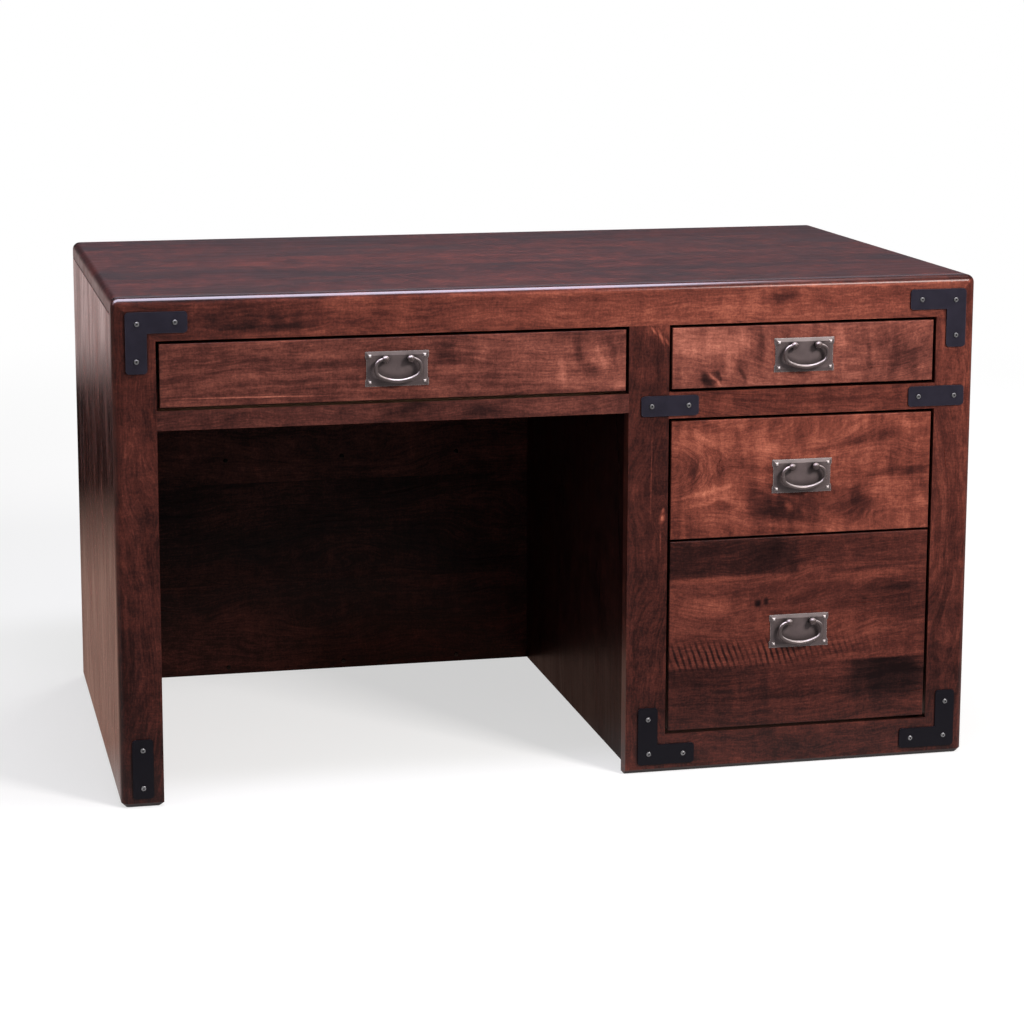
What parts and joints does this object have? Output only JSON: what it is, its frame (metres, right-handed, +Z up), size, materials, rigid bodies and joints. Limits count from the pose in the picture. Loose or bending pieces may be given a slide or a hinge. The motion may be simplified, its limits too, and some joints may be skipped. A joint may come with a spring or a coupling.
{
  "type": "campaign desk",
  "caption": "Single-pedestal writing desk with flush inset drawers on telescopic slides, bail pulls, blackened corner plates and an open kneehole with a full back panel.",
  "frame": {"origin": "on the floor, below the middle of the object's box", "axes": "+X runs along the desk towards the pedestal end, the drawer fronts face -Y, +Z is up"},
  "size_m": [1.326, 0.7796, 0.762],
  "materials": {
    "top_maple": "reddish brown stained maple under semi-gloss lacquer",
    "frame_maple": "reddish brown stained maple under semi-gloss lacquer",
    "panel_maple": "reddish brown stained maple under semi-gloss lacquer",
    "front_maple": "reddish brown stained maple under semi-gloss lacquer",
    "drawer_maple": "clear lacquered pale maple",
    "drawer_ply": "clear lacquered plywood",
    "packer_wood": "bare planed softwood",
    "slide_zinc": "zinc-plated rolled steel",
    "black_steel": "matte blue-black painted steel",
    "screw_steel": "worn blackened steel with bright edges",
    "pull_pewter": "dark pewter-toned castings with rubbed bright edges"
  },
  "bodies": {
    "case": {"left_stile": "frame_maple", "center_stile": "frame_maple", "right_stile": "frame_maple", "top_rail": "frame_maple", "knee_rail": "frame_maple", "middle_rail": "frame_maple", "bottom_rail": "frame_maple", "top_panel": "top_maple", "left_end_panel": "panel_maple", "right_end_panel": "panel_maple", "pedestal_inner_panel": "panel_maple", "back_panel": "panel_maple", "back_rails": "panel_maple", "back_stiles": "panel_maple", "slide_packers": "packer_wood", "slide_case_members": "slide_zinc", "corner_brackets": "black_steel", "straps": "black_steel", "screws": "screw_steel"},
    "pencil_drawer": {"pencil_front": "front_maple", "pencil_left_side": "drawer_maple", "pencil_right_side": "drawer_maple", "pencil_back": "drawer_maple", "pencil_bottom": "drawer_ply", "pencil_slide_drawer_members": "slide_zinc", "pencil_pull_plate": "pull_pewter", "pencil_pull_posts": "pull_pewter"},
    "pencil_runner": {"pencil_slide_middles": "slide_zinc"},
    "pencil_handle": {"pencil_bail": "pull_pewter"},
    "upper_drawer": {"upper_front": "front_maple", "upper_left_side": "drawer_maple", "upper_right_side": "drawer_maple", "upper_back": "drawer_maple", "upper_bottom": "drawer_ply", "upper_slide_drawer_members": "slide_zinc", "upper_pull_plate": "pull_pewter", "upper_pull_posts": "pull_pewter"},
    "upper_runner": {"upper_slide_middles": "slide_zinc"},
    "upper_handle": {"upper_bail": "pull_pewter"},
    "middle_drawer": {"middle_front": "front_maple", "middle_left_side": "drawer_maple", "middle_right_side": "drawer_maple", "middle_back": "drawer_maple", "middle_bottom": "drawer_ply", "middle_slide_drawer_members": "slide_zinc", "middle_pull_plate": "pull_pewter", "middle_pull_posts": "pull_pewter"},
    "middle_runner": {"middle_slide_middles": "slide_zinc"},
    "middle_handle": {"middle_bail": "pull_pewter"},
    "file_drawer": {"file_front": "front_maple", "file_left_side": "drawer_maple", "file_right_side": "drawer_maple", "file_back": "drawer_maple", "file_bottom": "drawer_ply", "file_slide_drawer_members": "slide_zinc", "file_pull_plate": "pull_pewter", "file_pull_posts": "pull_pewter"},
    "file_runner": {"file_slide_middles": "slide_zinc"},
    "file_handle": {"file_bail": "pull_pewter"}
  },
  "joints": [
    {"name": "pencil_drawer_slide", "type": "slide", "parent": "case", "child": "pencil_drawer", "axis": [0, -1, 0], "range_m": [0, 0.56]},
    {"name": "pencil_runner_slide", "type": "slide", "parent": "case", "child": "pencil_runner", "axis": [0, -1, 0], "range_m": [0, 0.28]},
    {"name": "pencil_bail_hinge", "type": "hinge", "parent": "pencil_drawer", "child": "pencil_handle", "pos_m": [-0.245, -0.3842, 0.6631], "axis": [-1, 0, 0], "range_deg": [-8, 180]},
    {"name": "upper_drawer_slide", "type": "slide", "parent": "case", "child": "upper_drawer", "axis": [0, -1, 0], "range_m": [0, 0.56]},
    {"name": "upper_runner_slide", "type": "slide", "parent": "case", "child": "upper_runner", "axis": [0, -1, 0], "range_m": [0, 0.28]},
    {"name": "upper_bail_hinge", "type": "hinge", "parent": "upper_drawer", "child": "upper_handle", "pos_m": [0.3865, -0.3842, 0.6631], "axis": [-1, 0, 0], "range_deg": [-8, 180]},
    {"name": "middle_drawer_slide", "type": "slide", "parent": "case", "child": "middle_drawer", "axis": [0, -1, 0], "range_m": [0, 0.56]},
    {"name": "middle_runner_slide", "type": "slide", "parent": "case", "child": "middle_runner", "axis": [0, -1, 0], "range_m": [0, 0.28]},
    {"name": "middle_bail_hinge", "type": "hinge", "parent": "middle_drawer", "child": "middle_handle", "pos_m": [0.3865, -0.3842, 0.4751], "axis": [-1, 0, 0], "range_deg": [-8, 180]},
    {"name": "file_drawer_slide", "type": "slide", "parent": "case", "child": "file_drawer", "axis": [0, -1, 0], "range_m": [0, 0.56]},
    {"name": "file_runner_slide", "type": "slide", "parent": "case", "child": "file_runner", "axis": [0, -1, 0], "range_m": [0, 0.28]},
    {"name": "file_bail_hinge", "type": "hinge", "parent": "file_drawer", "child": "file_handle", "pos_m": [0.3865, -0.3842, 0.2307], "axis": [-1, 0, 0], "range_deg": [-8, 180]}
  ],
  "couplings": [
    {"joint": "pencil_runner_slide", "follows": "pencil_drawer_slide", "ratio": 0.5},
    {"joint": "upper_runner_slide", "follows": "upper_drawer_slide", "ratio": 0.5},
    {"joint": "middle_runner_slide", "follows": "middle_drawer_slide", "ratio": 0.5},
    {"joint": "file_runner_slide", "follows": "file_drawer_slide", "ratio": 0.5}
  ]
}
